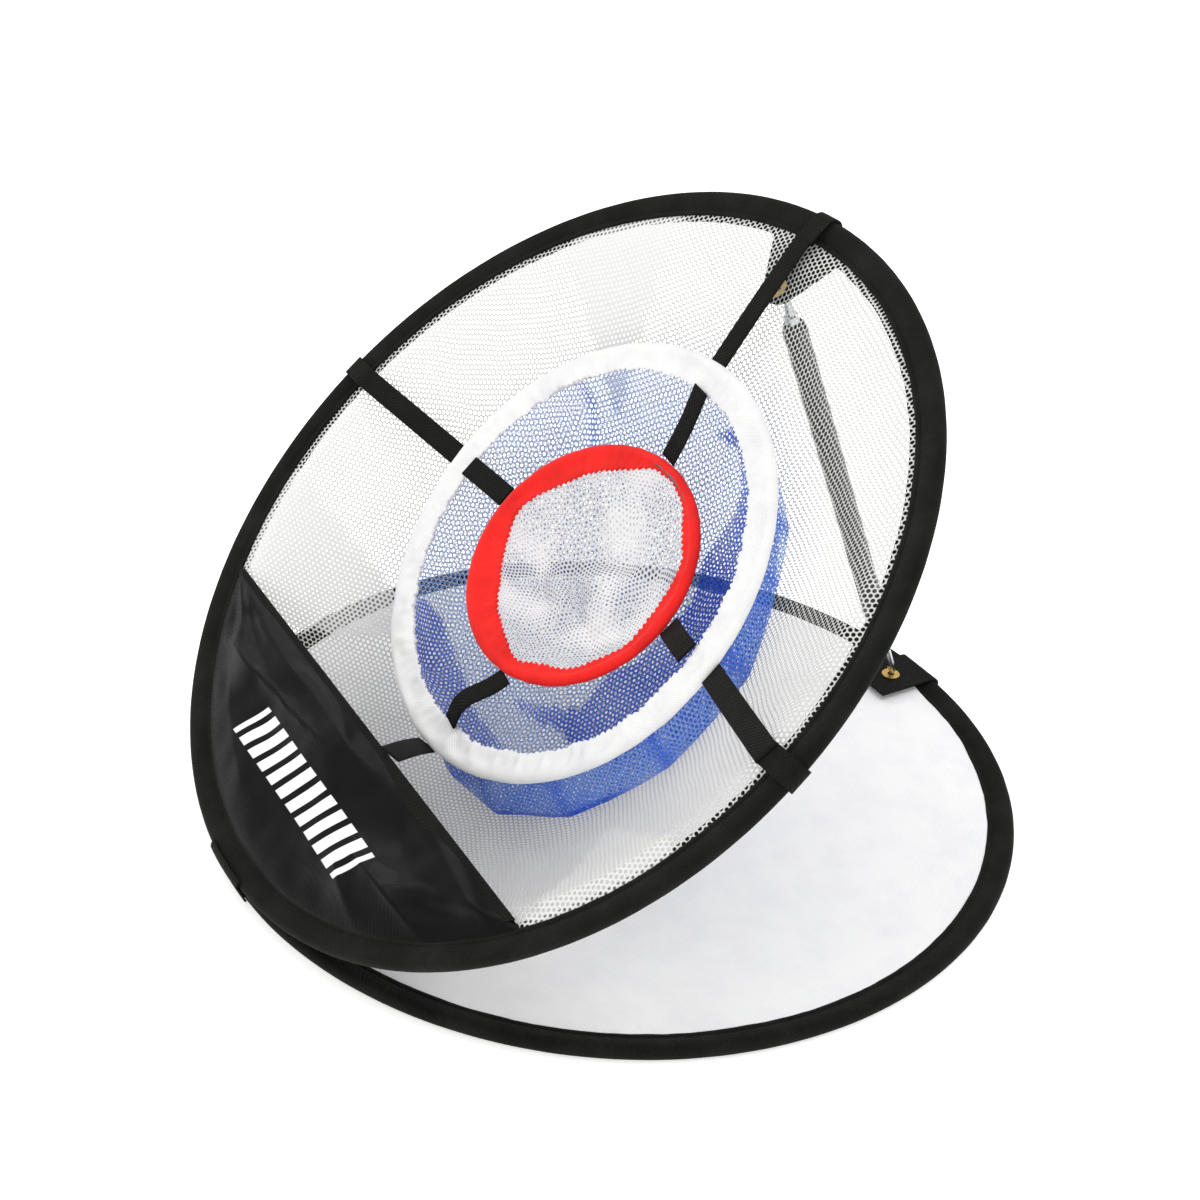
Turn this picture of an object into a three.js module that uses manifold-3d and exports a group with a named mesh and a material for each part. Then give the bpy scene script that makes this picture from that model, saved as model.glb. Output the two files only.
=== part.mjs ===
// A fold-flat golf practice net: a hooped base that lies on the grass, a hooped target
// that leans back over it from a sewn hinge at the front, and a rod that props it up.
// Two cloth-covered spring rings hang on webbing inside the target, each with a net pocket.
// Millimetres, +Z up, the player stands on the -Y side. Origin: the middle of the base, on the ground.
import * as THREE from 'three';
import { mergeVertices } from 'three/addons/utils/BufferGeometryUtils.js';
import Module from 'manifold-3d';

const wasm = await Module();
wasm.setup();

// Driving dimensions.
const hoopRadius = 254;
const hoopTapeWidth = 19;
const hoopHalfThickness = 4.3;
const wireRadius = 2.3;
const targetAngle = 42.25;
const hingeOffset = 4.9;
const hoopSegments = 56;
const fit = 0.35;

// The rings hang behind the hoop: centres from the middle of the hoop, leans in degrees.
const middleRing = { radius: 139.5, tapeWidth: 18, centre: [0, 12.8, -26.8], lean: 6.5, sideLean: 1.5 };
const centreRing = { radius: 78, tapeWidth: 13, centre: [0, 12.8, -35.1], lean: 1, sideLean: 7 };
const ringSegments = 44;

const outerPocketDepth = 104;
const middlePocketDepth = 60;
const centrePocketDepth = 38;
const netThickness = 1.1;
const pocketDroop = 0.32;
const outerPocketFullness = 14;
const middlePocketFullness = 8;
const centrePocketFullness = 3;

const panelHeight = 111;
const panelHemWidth = 9;
const webbingWidth = 14;
const webbingThickness = 1.4;

const baseTabBearing = 1.4;
const targetTabBearing = 3.4;
const tabThickness = 1.5;
const tabSlope = 9.4;
const eyeletHoleRadius = 2.4;
const baseEyeletRadius = 226;
const targetEyeletRadius = 207;

const rodRadius = 7.8;
const tipRadius = 2.9;
const rodPivotHeight = 15;
const rodTopGap = 22;

// Places worked out from them.
const baseLevel = hoopHalfThickness;
const hingeY = -(hoopRadius - hoopHalfThickness);
const hingeZ = baseLevel + hingeOffset;
const wireLine = hoopRadius - hoopHalfThickness;
const tabX = -Math.sin(THREE.MathUtils.degToRad(baseTabBearing)) * baseEyeletRadius;

const net = new THREE.Group();
net.name = 'golf_practice_net';

const material = (colour, roughness, metalness = 0) =>
  new THREE.MeshStandardMaterial({ color: colour, roughness, metalness });

const addMesh = (parent, name, geometry, look) => {
  const mesh = new THREE.Mesh(geometry, look);
  mesh.name = name;
  parent.add(mesh);
  return mesh;
};

// Shared helpers.

// A ring of any section about +Z: the profile is a closed list of [radius, height].
function ringOf(profile, segments) {
  const points = profile.map(([radius, height]) => new THREE.Vector2(radius, height));
  points.push(points[0].clone());
  const geometry = new THREE.LatheGeometry(points, segments);
  geometry.rotateX(Math.PI / 2);
  return geometry;
}

// A shape drawn in X and Y, extruded up from a height.
function plate(shape, height, thickness, curveSegments = 12) {
  const geometry = new THREE.ExtrudeGeometry(shape, { depth: thickness, bevelEnabled: false, curveSegments });
  geometry.translate(0, 0, height);
  return geometry;
}

function toManifold(geometry) {
  const bare = geometry.clone();
  bare.deleteAttribute('normal');
  bare.deleteAttribute('uv');
  const merged = mergeVertices(bare, 1e-4);
  const vertProperties = new Float32Array(merged.attributes.position.array);
  const triVerts = new Uint32Array(merged.index.array);
  return new wasm.Manifold(new wasm.Mesh({ numProp: 3, vertProperties, triVerts }));
}

function toGeometry(solid) {
  const { vertProperties, triVerts, numProp } = solid.getMesh();
  const positions = [];
  for (let i = 0; i < vertProperties.length; i += numProp) {
    positions.push(vertProperties[i], vertProperties[i + 1], vertProperties[i + 2]);
  }
  const geometry = new THREE.BufferGeometry();
  geometry.setAttribute('position', new THREE.Float32BufferAttribute(positions, 3));
  geometry.setIndex(Array.from(triVerts));
  geometry.computeVertexNormals();
  return geometry;
}

// Folded edge tape: round over the wire, then two flat legs that run inwards with a slot between them.
// Its underside is flat, where the base lies on the ground.
function foldedTape(radius, width, segments) {
  const wall = 1.4;
  const slot = 1.8;
  const centre = radius - hoopHalfThickness;
  const inner = radius - width;
  const hollow = hoopHalfThickness - wall;
  const profile = [];
  profile.push([inner, -slot - wall]);
  profile.push([inner + 4, -hoopHalfThickness]);
  for (let angle = -90; angle <= 90; angle += 45) {
    const turn = THREE.MathUtils.degToRad(angle);
    profile.push([centre + hoopHalfThickness * Math.cos(turn), hoopHalfThickness * Math.sin(turn)]);
  }
  profile.push([inner + 4, hoopHalfThickness]);
  profile.push([inner, slot + wall]);
  profile.push([inner, slot]);
  for (let angle = 130; angle >= -130; angle -= 65) {
    const turn = THREE.MathUtils.degToRad(angle);
    profile.push([centre + hollow * Math.cos(turn), hollow * Math.sin(turn)]);
  }
  profile.push([inner, -slot]);
  return ringOf(profile, segments);
}

// Spring steel wire that runs inside the tape.
function springWire(radius, segments) {
  const centre = radius - hoopHalfThickness;
  const profile = [];
  for (let side = 0; side < 6; side += 1) {
    const turn = (side * Math.PI) / 3;
    profile.push([centre + wireRadius * Math.cos(turn), wireRadius * Math.sin(turn)]);
  }
  return ringOf(profile, segments);
}

// A net bag hung from a ring: a thin bowl, flat where it is sewn in, that droops downhill with its depth.
// A taper under 1 gives it steep sides, and over 1 a soft slope in from the rim.
// Its fullness is how much deeper the cloth hangs on its low side, between the rim and the middle.
function netBag(radius, flatRadius, depth, taper, fullness, level, segments, steps) {
  const drop = (share) => -depth * (1 - share ** 2) ** taper;
  const top = [[radius, level]];
  const bottom = [[radius, level - netThickness]];
  for (let step = steps; step >= 0; step -= 1) {
    const share = step / steps;
    const flare = flatRadius * Math.sin((share * Math.PI) / 2);
    top.push([flare, level + drop(flare / flatRadius)]);
    bottom.push([flare, level - netThickness + drop(flare / flatRadius)]);
  }
  const outline = [...bottom.reverse(), ...top].map(([x, y]) => new THREE.Vector2(x, y));
  const geometry = new THREE.LatheGeometry(outline, segments);
  geometry.rotateX(Math.PI / 2);
  const position = geometry.attributes.position;
  for (let i = 0; i < position.count; i += 1) {
    const depthHere = Math.min(0, position.getZ(i) - level + netThickness);
    const reach = Math.hypot(position.getX(i), position.getY(i));
    const share = Math.min(1, reach / flatRadius);
    const lowSide = reach > 0.01 ? (1 - position.getY(i) / reach) / 2 : 0.5;
    position.setZ(i, position.getZ(i) - fullness * lowSide * 4 * share ** 2 * (1 - share ** 2));
    position.setY(i, position.getY(i) + depthHere * pocketDroop);
  }
  return geometry;
}

// A webbing strip between two points, its width running as near as it can to one direction.
function webbing(from, to, across) {
  const start = new THREE.Vector3(...from);
  const end = new THREE.Vector3(...to);
  const along = end.clone().sub(start);
  const geometry = new THREE.BoxGeometry(webbingWidth, along.length(), webbingThickness);
  const forward = along.clone().normalize();
  const side = across.clone().projectOnPlane(forward).normalize();
  const up = new THREE.Vector3().crossVectors(side, forward);
  geometry.applyMatrix4(new THREE.Matrix4().makeBasis(side, forward, up));
  geometry.translate(...start.add(end).multiplyScalar(0.5).toArray());
  return geometry;
}

// The end of a strap, hooked over the outside of the hoop.
function webbingHook(bearing) {
  const reach = hoopHalfThickness + 0.5;
  const centre = hoopRadius - hoopHalfThickness;
  const shape = new THREE.Shape();
  shape.moveTo(hoopRadius - hoopTapeWidth - 2, reach);
  shape.lineTo(centre, reach);
  shape.absarc(centre, 0, reach, Math.PI / 2, -0.9, true);
  const outer = reach + webbingThickness;
  shape.lineTo(centre + outer * Math.cos(-0.9), outer * Math.sin(-0.9));
  shape.absarc(centre, 0, outer, -0.9, Math.PI / 2, false);
  shape.lineTo(hoopRadius - hoopTapeWidth - 2, outer);
  shape.closePath();
  const geometry = plate(shape, -webbingWidth / 2, webbingWidth, 5);
  geometry.rotateX(Math.PI / 2);
  geometry.rotateZ(THREE.MathUtils.degToRad(bearing));
  return geometry;
}

// A brass eyelet: a short tube with a flange on each side of the cloth.
function eyelet(thickness) {
  const half = thickness / 2;
  const profile = [
    [eyeletHoleRadius, -half - 0.9],
    [6.2, -half - 0.9],
    [6.2, -half - 0.2],
    [3.2, -half - 0.2],
    [3.2, half + 0.2],
    [6.2, half + 0.2],
    [6.2, half + 0.9],
    [eyeletHoleRadius, half + 0.9],
  ];
  return ringOf(profile, 20);
}

const blackTape = () => material(0x1b1c18, 0.85);
const blackWeb = () => material(0x171814, 0.9);
const steel = () => material(0x8e9296, 0.35, 1);
const brass = () => material(0xb48a4a, 0.35, 1);

// Base: hoop, ground cloth, and the tab that takes the foot of the rod.
const base = new THREE.Group();
net.add(base);

const baseHoop = new THREE.Group();
baseHoop.position.z = baseLevel;
base.add(baseHoop);
addMesh(baseHoop, 'base_hoop_wire', springWire(hoopRadius, hoopSegments), steel());
addMesh(baseHoop, 'base_edge_tape', foldedTape(hoopRadius, hoopTapeWidth, hoopSegments), blackTape());

const groundClothRadius = hoopRadius - 9;
const groundCloth = new THREE.CylinderGeometry(groundClothRadius, groundClothRadius, 1.2, hoopSegments);
groundCloth.rotateX(Math.PI / 2);
groundCloth.rotateZ(Math.PI / 2);
addMesh(baseHoop, 'base_ground_cloth', groundCloth, material(0xf3f2f4, 0.7));

// The tab is one strip: over the hoop from its outer edge, then in towards the eyelet.
function baseTab() {
  const under = hoopHalfThickness + 0.4;
  const over = under + tabThickness;
  const shape = new THREE.Shape();
  shape.moveTo(206, over);
  shape.lineTo(206, under);
  shape.lineTo(wireLine, under);
  shape.absarc(wireLine, 0, under, Math.PI / 2, -0.6, true);
  shape.lineTo(wireLine + over * Math.cos(-0.6), over * Math.sin(-0.6));
  shape.absarc(wireLine, 0, over, -0.6, Math.PI / 2, false);
  shape.closePath();
  const strip = plate(shape, -17, 34, 6);
  strip.rotateX(Math.PI / 2);
  const hole = new THREE.CylinderGeometry(3.5, 3.5, 10, 20);
  hole.rotateX(Math.PI / 2);
  hole.translate(baseEyeletRadius, 0, (under + over) / 2);
  return toGeometry(toManifold(strip).subtract(toManifold(hole)));
}

const baseTabTurn = new THREE.Group();
baseTabTurn.rotation.z = THREE.MathUtils.degToRad(90 + baseTabBearing);
baseHoop.add(baseTabTurn);
addMesh(baseTabTurn, 'base_rod_tab', baseTab(), blackWeb());
const baseEyelet = addMesh(baseTabTurn, 'base_tab_eyelet', eyelet(tabThickness), brass());
baseEyelet.position.set(baseEyeletRadius, 0, hoopHalfThickness + 0.4 + tabThickness / 2);

// Hinge tape: sewn over the front of both hoops where they meet.
function hingeTape() {
  const reach = hoopHalfThickness + 0.45;
  const outer = reach + 1.1;
  const lean = THREE.MathUtils.degToRad(targetAngle);
  const targetWire = [hingeOffset * Math.sin(lean), hingeOffset * Math.cos(lean) + hingeOffset];
  const shape = new THREE.Shape();
  const low = -0.75;
  const high = 0.8;
  const slack = 0.5;
  shape.moveTo(reach * Math.cos(low), reach * Math.sin(low));
  shape.lineTo(outer * Math.cos(low), outer * Math.sin(low));
  shape.absarc(0, 0, outer, low, 0.1, false);
  shape.absarc(targetWire[0], targetWire[1], outer + slack, -0.1, high, false);
  shape.lineTo(targetWire[0] + (reach + slack) * Math.cos(high), targetWire[1] + (reach + slack) * Math.sin(high));
  shape.absarc(targetWire[0], targetWire[1], reach + slack, high, -0.1, true);
  shape.absarc(0, 0, reach, 0.1, low, true);
  const halfSweep = 0.08;
  const strip = new THREE.ExtrudeGeometry(shape, { depth: 2 * halfSweep, steps: 8, bevelEnabled: false, curveSegments: 4 });
  const position = strip.attributes.position;
  for (let i = 0; i < position.count; i += 1) {
    const radius = wireLine + position.getX(i);
    const turn = -Math.PI / 2 + halfSweep - position.getZ(i);
    position.setXYZ(i, radius * Math.cos(turn), radius * Math.sin(turn), position.getY(i));
  }
  return strip;
}
addMesh(baseHoop, 'hinge_tape', hingeTape(), blackWeb());

// Target: everything on it is drawn flat, with its hoop's middle at the group's origin, then leaned back.
const targetHinge = new THREE.Group();
targetHinge.position.set(0, hingeY, hingeZ);
targetHinge.rotation.x = THREE.MathUtils.degToRad(targetAngle);
net.add(targetHinge);

const target = new THREE.Group();
target.position.set(0, wireLine, hingeOffset);
targetHinge.add(target);
addMesh(target, 'target_hoop_wire', springWire(hoopRadius, hoopSegments), steel());
addMesh(target, 'target_edge_tape', foldedTape(hoopRadius, hoopTapeWidth, hoopSegments), blackTape());
const outerFlat = 224;
const outerBag = netBag(
  hoopRadius - 9, outerFlat, outerPocketDepth, 1.5, outerPocketFullness, -0.35, hoopSegments, 6,
);
addMesh(target, 'outer_net_pocket', outerBag, material(0xf2f2ee, 0.8));

// Front panel: the part of the hoop's disc below a straight hem, open above it.
function panelShape(radius, hem) {
  const half = Math.acos(-hem / radius);
  const shape = new THREE.Shape();
  shape.absarc(0, 0, radius, -Math.PI / 2 - half, -Math.PI / 2 + half, false);
  shape.closePath();
  return shape;
}
const hemLevel = panelHeight + hoopHalfThickness - hoopRadius;
addMesh(target, 'front_panel', plate(panelShape(hoopRadius - 9, hemLevel - 1), 0.35, 0.9, 24), material(0x1d1e1b, 0.45));

const chordHalf = (level) => Math.sqrt((hoopRadius - hoopTapeWidth - 1) ** 2 - level ** 2) - 1;
const hem = new THREE.Shape();
hem.moveTo(-chordHalf(hemLevel - panelHemWidth), hemLevel - panelHemWidth);
hem.lineTo(chordHalf(hemLevel - panelHemWidth), hemLevel - panelHemWidth);
hem.lineTo(chordHalf(hemLevel), hemLevel);
hem.lineTo(-chordHalf(hemLevel), hemLevel);
hem.closePath();
addMesh(target, 'panel_hem_tape', plate(hem, 1.6, 1.2), blackWeb());

// Tab on the back of the target, which takes the head of the rod. It slopes away from the net to its tip.
const tabRoot = 249;
const tabLevel = -hoopHalfThickness - 0.4 - tabThickness / 2;
function targetTab() {
  const shape = new THREE.Shape();
  shape.moveTo(0, -30);
  shape.quadraticCurveTo(3, 0, 0, 30);
  shape.lineTo(-13, 31);
  shape.lineTo(-47, 11);
  shape.quadraticCurveTo(-56, 0, -47, -11);
  shape.lineTo(-13, -31);
  shape.closePath();
  const strip = plate(shape, -tabThickness / 2, tabThickness, 6);
  const hole = new THREE.CylinderGeometry(3.5, 3.5, 10, 20);
  hole.rotateX(Math.PI / 2);
  hole.translate(targetEyeletRadius - tabRoot, 0, 0);
  return toGeometry(toManifold(strip).subtract(toManifold(hole)));
}

const targetTabTurn = new THREE.Group();
targetTabTurn.rotation.z = THREE.MathUtils.degToRad(90 + targetTabBearing);
target.add(targetTabTurn);
const targetTabSlope = new THREE.Group();
targetTabSlope.position.set(tabRoot, 0, tabLevel);
targetTabSlope.rotation.y = -THREE.MathUtils.degToRad(tabSlope);
targetTabTurn.add(targetTabSlope);
addMesh(targetTabSlope, 'target_rod_tab', targetTab(), blackWeb());
const targetEyelet = addMesh(targetTabSlope, 'target_tab_eyelet', eyelet(tabThickness), brass());
targetEyelet.position.x = targetEyeletRadius - tabRoot;

// Rings: a wire, a sewn cloth cover and a net bag each.
const ringTurn = (ring) =>
  new THREE.Euler(THREE.MathUtils.degToRad(ring.lean), THREE.MathUtils.degToRad(ring.sideLean), 0);

function hangRing(ring, segments, name, coverLook) {
  const group = new THREE.Group();
  group.position.set(...ring.centre);
  group.rotation.copy(ringTurn(ring));
  target.add(group);
  addMesh(group, `${name}_ring_wire`, springWire(ring.radius, segments), steel());
  addMesh(group, `${name}_ring_cover`, foldedTape(ring.radius, ring.tapeWidth, segments), coverLook);
  return group;
}

// A ring's bag starts inside its cover's slot and hangs from just inside the cover.
const ringBag = (ring, depth, fullness, steps) =>
  netBag(ring.radius - 9, ring.radius - ring.tapeWidth - 3, depth, 0.7, fullness, 0.55, ringSegments, steps);

const middle = hangRing(middleRing, ringSegments, 'middle', material(0xf6f6f4, 0.75));
const middleBag = ringBag(middleRing, middlePocketDepth, middlePocketFullness, 5);
addMesh(middle, 'middle_net_pocket', middleBag, material(0x2450b8, 0.7));
const centre = hangRing(centreRing, ringSegments, 'centre', material(0xf9201c, 0.7));
const centreBag = ringBag(centreRing, centrePocketDepth, centrePocketFullness, 4);
addMesh(centre, 'centre_net_pocket', centreBag, material(0xf2f2ee, 0.8));

// The point in a ring's plane at a bearing, counted left from straight up.
function rimPoint(ring, radius, bearing) {
  const turn = THREE.MathUtils.degToRad(90 + bearing);
  const point = new THREE.Vector3(radius * Math.cos(turn), radius * Math.sin(turn), 0);
  return point.applyEuler(ringTurn(ring)).add(new THREE.Vector3(...ring.centre)).toArray();
}

// Webbing: each strap runs from the hoop to the middle ring, and on to the centre ring.
// Bearings go left from straight up: at the hoop, and at each ring's edge.
const straps = [
  { side: 'top', hoop: 1.4, middle: 1.9, inner: -0.6, centre: 3.3 },
  { side: 'left', hoop: 89.1, middle: 91.5, inner: 91.7, centre: 91.3 },
  { side: 'right', hoop: 272.2, middle: 271.9, inner: 272.1, centre: 275.6 },
  { side: 'bottom', hem: 36, middle: 181.2, inner: 184.8, centre: 191.8 },
];
const hookEdge = hoopRadius - hoopTapeWidth - 3.6;
const webLevel = hoopHalfThickness + 0.5 + webbingThickness / 2;
for (const strap of straps) {
  let start = [strap.hem, hemLevel + 1.8, 2.4];
  if (strap.hoop) {
    const turn = THREE.MathUtils.degToRad(90 + strap.hoop);
    start = [hookEdge * Math.cos(turn), hookEdge * Math.sin(turn), webLevel];
    addMesh(target, `strap_hook_${strap.side}`, webbingHook(90 + strap.hoop), blackWeb());
  }
  const outerEdge = rimPoint(middleRing, middleRing.radius + 1.6, strap.middle);
  const innerEdge = rimPoint(middleRing, middleRing.radius - middleRing.tapeWidth - 2.4, strap.inner);
  const centreEdge = rimPoint(centreRing, centreRing.radius + 2.8, strap.centre);
  innerEdge[2] += 3;
  const sideways = ['left', 'right'].includes(strap.side);
  const across = new THREE.Vector3(sideways ? 0 : 1, sideways ? 1 : 0, 0);
  addMesh(target, `strap_outer_${strap.side}`, webbing(start, outerEdge, across), blackWeb());
  addMesh(target, `strap_inner_${strap.side}`, webbing(innerEdge, centreEdge, across), blackWeb());
}

// Rod: it stands on the base tab's eyelet and its head is just behind the target tab's eyelet.
const lean = THREE.MathUtils.degToRad(targetAngle);
const footTurn = THREE.MathUtils.degToRad(baseTabBearing);
const headTurn = THREE.MathUtils.degToRad(targetTabBearing);
const headAlong = wireLine + targetEyeletRadius * Math.cos(headTurn);
const headBack = hingeOffset - rodTopGap;
const foot = new THREE.Vector3(tabX, baseEyeletRadius * Math.cos(footTurn), rodPivotHeight);
const head = new THREE.Vector3(
  -targetEyeletRadius * Math.sin(headTurn),
  hingeY + headAlong * Math.cos(lean) - headBack * Math.sin(lean),
  hingeZ + headAlong * Math.sin(lean) + headBack * Math.cos(lean),
);
const rodLength = head.distanceTo(foot);

const rod = new THREE.Group();
rod.position.copy(foot);
rod.quaternion.setFromUnitVectors(new THREE.Vector3(0, 0, 1), head.clone().sub(foot).normalize());
net.add(rod);

const footReach = 2.8;
const footTipLength = 42;
const headTipLength = 16;
const turned = (points, segments) => {
  const geometry = new THREE.LatheGeometry(points.map(([radius, height]) => new THREE.Vector2(radius, height)), segments);
  geometry.rotateX(Math.PI / 2);
  return geometry;
};
const rodBody = turned([
  [0, footTipLength + fit],
  [rodRadius - 3, footTipLength + fit],
  [rodRadius - 0.6, footTipLength + 6],
  [rodRadius, footTipLength + 12],
  [rodRadius, rodLength - headTipLength - 5],
  [rodRadius - 2, rodLength - headTipLength - fit],
  [0, rodLength - headTipLength - fit],
], 16);
addMesh(rod, 'prop_rod', rodBody, material(0x161715, 0.4));

const tipProfile = (length) => [
  [0, 0],
  [1.8, 0],
  [tipRadius - 0.6, 4],
  [tipRadius, 9],
  [tipRadius, length - 6],
  [tipRadius + 1.6, length - 5],
  [tipRadius + 1.6, length],
  [0, length],
];
const footTip = addMesh(rod, 'prop_rod_foot_tip', turned(tipProfile(footTipLength + footReach), 14), steel());
footTip.position.z = -footReach;
const headTip = addMesh(rod, 'prop_rod_head_tip', turned(tipProfile(headTipLength), 14), steel());
headTip.rotation.x = Math.PI;
headTip.position.z = rodLength;

export default net;
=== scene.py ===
import math
import bpy
import bmesh
import numpy as np
from mathutils import Matrix, Vector, noise


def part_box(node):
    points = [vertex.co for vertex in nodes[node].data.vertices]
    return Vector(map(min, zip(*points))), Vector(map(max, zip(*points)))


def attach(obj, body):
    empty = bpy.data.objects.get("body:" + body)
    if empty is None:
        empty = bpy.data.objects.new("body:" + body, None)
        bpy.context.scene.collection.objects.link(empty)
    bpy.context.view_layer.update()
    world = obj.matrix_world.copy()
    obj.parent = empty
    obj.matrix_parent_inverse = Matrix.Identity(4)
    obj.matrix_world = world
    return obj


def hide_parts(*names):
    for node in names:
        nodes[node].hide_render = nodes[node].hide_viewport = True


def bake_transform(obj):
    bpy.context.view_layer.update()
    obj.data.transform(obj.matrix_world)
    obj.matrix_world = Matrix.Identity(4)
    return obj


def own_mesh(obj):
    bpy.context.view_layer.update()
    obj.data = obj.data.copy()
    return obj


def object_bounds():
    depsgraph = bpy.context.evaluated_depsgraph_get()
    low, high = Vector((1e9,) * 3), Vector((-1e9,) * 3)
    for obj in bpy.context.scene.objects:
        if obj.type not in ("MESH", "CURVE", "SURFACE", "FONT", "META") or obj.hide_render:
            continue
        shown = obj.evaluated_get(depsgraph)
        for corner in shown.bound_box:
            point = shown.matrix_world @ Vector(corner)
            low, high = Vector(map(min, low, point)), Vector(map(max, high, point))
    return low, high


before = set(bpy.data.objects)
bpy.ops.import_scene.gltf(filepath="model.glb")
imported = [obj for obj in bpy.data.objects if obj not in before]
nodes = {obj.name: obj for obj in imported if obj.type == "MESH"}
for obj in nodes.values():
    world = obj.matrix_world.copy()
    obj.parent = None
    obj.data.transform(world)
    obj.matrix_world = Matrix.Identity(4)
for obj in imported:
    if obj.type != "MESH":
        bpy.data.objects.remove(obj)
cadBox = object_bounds()
millimetre = 0.001
print("frame loaded with", len(nodes), "CAD nodes")

camera = {
    "place": (0.8185, -0.5371, 0.7227),
    "towards": (-0.7221, 0.4568, -0.5195),
    "upright": (-0.4815, 0.2074, 0.8516),
    "lens": 57.04,
}

studio = {
    "roomLight": 0.88,
    "floorColour": "f7f7f5",
    "floorGlow": 0.5,
    "floorSize": 9.0,
    # place, aims at, size in metres, power in watts
    "lamps": {
        "keyBox": ((-1.1, -1.5, 2.3), (0, 0, 0.1), 1.1, 6),
        # small, so that glossy cloth shows its folds
        "streakBox": ((-1.9, -0.6, 1.7), (0, -0.15, 0.1), 0.4, 6),
        "fillBox": ((1.9, -1.7, 0.8), (0.05, -0.1, 0.05), 1.2, 9),
        "sideBox": ((2.2, 0.4, 1.5), (0, 0, 0.15), 1.1, 4),
        "topBox": ((0.3, 0.7, 2.6), (0, 0, 0), 1.6, 14),
    },
}


def colour(hexText):  # sRGB hex to the linear colour that a shader takes
    parts = [int(hexText[i:i + 2], 16) / 255 for i in (0, 2, 4)]
    return tuple(p / 12.92 if p <= 0.04045 else ((p + 0.055) / 1.055) ** 2.4 for p in parts) + (1.0,)


def addNode(tree, kind, inputs=None, **settings):  # one node, with its settings, values and links
    made = tree.nodes.new("ShaderNode" + kind)
    for setting, value in settings.items():
        setattr(made, setting, value)
    for key, value in (inputs or {}).items():
        if isinstance(value, bpy.types.NodeSocket):
            tree.links.new(value, made.inputs[key])
        else:
            made.inputs[key].default_value = value
    return made


def newMaterial(materialName, plain):  # plain: values that are the same all over the surface
    made = bpy.data.materials.new(materialName)
    made.use_nodes = True
    shader = made.node_tree.nodes["Principled BSDF"]
    for socketName, value in plain.items():
        shader.inputs[socketName].default_value = value
    return made, made.node_tree, shader


def placeCamera():
    data = bpy.data.cameras.new("viewCamera")
    data.lens = camera["lens"]
    data.sensor_width = 36
    data.clip_end = 50
    made = bpy.data.objects.new("viewCamera", data)
    back = -Vector(camera["towards"]).normalized()
    side = Vector(camera["upright"]).cross(back).normalized()
    up = back.cross(side)
    turn = Matrix((side, up, back)).transposed().to_4x4()
    made.matrix_world = Matrix.Translation(camera["place"]) @ turn
    bpy.context.scene.collection.objects.link(made)
    bpy.context.scene.camera = made


def lightStudio():
    world = bpy.data.worlds.new("studioRoom")
    bpy.context.scene.world = world
    world.use_nodes = True
    world.node_tree.nodes["Background"].inputs["Color"].default_value = (1, 1, 1, 1)
    world.node_tree.nodes["Background"].inputs["Strength"].default_value = studio["roomLight"]
    for lampName, (place, target, size, power) in studio["lamps"].items():
        data = bpy.data.lights.new(lampName, "AREA")
        data.shape = "DISK"
        data.size = size
        data.energy = power
        lamp = bpy.data.objects.new(lampName, data)
        lamp.location = place
        lamp.rotation_euler = (Vector(target) - Vector(place)).to_track_quat("-Z", "Y").to_euler()
        bpy.context.scene.collection.objects.link(lamp)
    # Painted board: a faint mottle keeps it from looking like an empty page.
    paint, tree, shader = newMaterial("paintedStudioBoard", {"Roughness": 0.95, "Specular IOR Level": 0.1})
    mottle = addNode(tree, "TexNoise", {"Scale": 3.0, "Detail": 2.0})
    tone = addNode(tree, "Mix", {0: mottle.outputs["Fac"], 6: colour("f5f5f3"),
                                 7: colour(studio["floorColour"])}, data_type="RGBA")
    tree.links.new(tone.outputs[2], shader.inputs["Base Color"])
    shader.inputs["Emission Color"].default_value = (1, 1, 1, 1)
    shader.inputs["Emission Strength"].default_value = studio["floorGlow"]
    half = studio["floorSize"] / 2
    mesh = bpy.data.meshes.new("studioFloor")
    corners = [(-half, -half, 0), (half, -half, 0), (half, half, 0), (-half, half, 0)]
    mesh.from_pydata(corners, [], [(0, 1, 2, 3)])
    mesh.materials.append(paint)
    floor = bpy.data.objects.new("studioFloor", mesh)
    floor.location.z = cadBox[0].z - 0.0004
    bpy.context.scene.collection.objects.link(floor)
    bpy.context.scene.view_settings.view_transform = "Standard"


placeCamera()
lightStudio()
print("camera, lamps and floor placed")


def nodePoints(nodeName):
    mesh = nodes[nodeName].data
    points = np.empty(len(mesh.vertices) * 3, np.float32)
    mesh.vertices.foreach_get("co", points)
    return points.reshape(-1, 3).astype(float)


def ringPlane(nodeName):  # centre, radius and directions of a ring of wire
    points = nodePoints(nodeName)
    centre = points.mean(0)
    normal = np.linalg.svd(points - centre, full_matrices=False)[2][2]
    normal *= np.sign(normal[2])
    side = np.array([1.0, 0, 0]) - normal * normal[0]
    side /= np.linalg.norm(side)
    axes = np.array([side, np.cross(normal, side), normal])
    spread = np.linalg.norm(((points - centre) @ axes.T)[:, :2], axis=1)
    return {"centre": centre, "axes": axes, "normal": normal, "radius": (spread.min() + spread.max()) / 2}


def inPlane(plane, points):  # side, up and height above a ring's plane
    return (np.asarray(points) - plane["centre"]) @ plane["axes"].T


def fromPlane(plane, local):
    return plane["centre"] + np.asarray(local) @ plane["axes"]


def ringSize(nodeName, plane):  # inner and outer radius
    local = inPlane(plane, nodePoints(nodeName))
    reach = np.hypot(local[:, 0], local[:, 1])
    return reach.min(), reach.max()


basePlane = ringPlane("base_hoop_wire")
targetPlane = ringPlane("target_hoop_wire")
middlePlane = ringPlane("middle_ring_wire")
centrePlane = ringPlane("centre_ring_wire")


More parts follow.
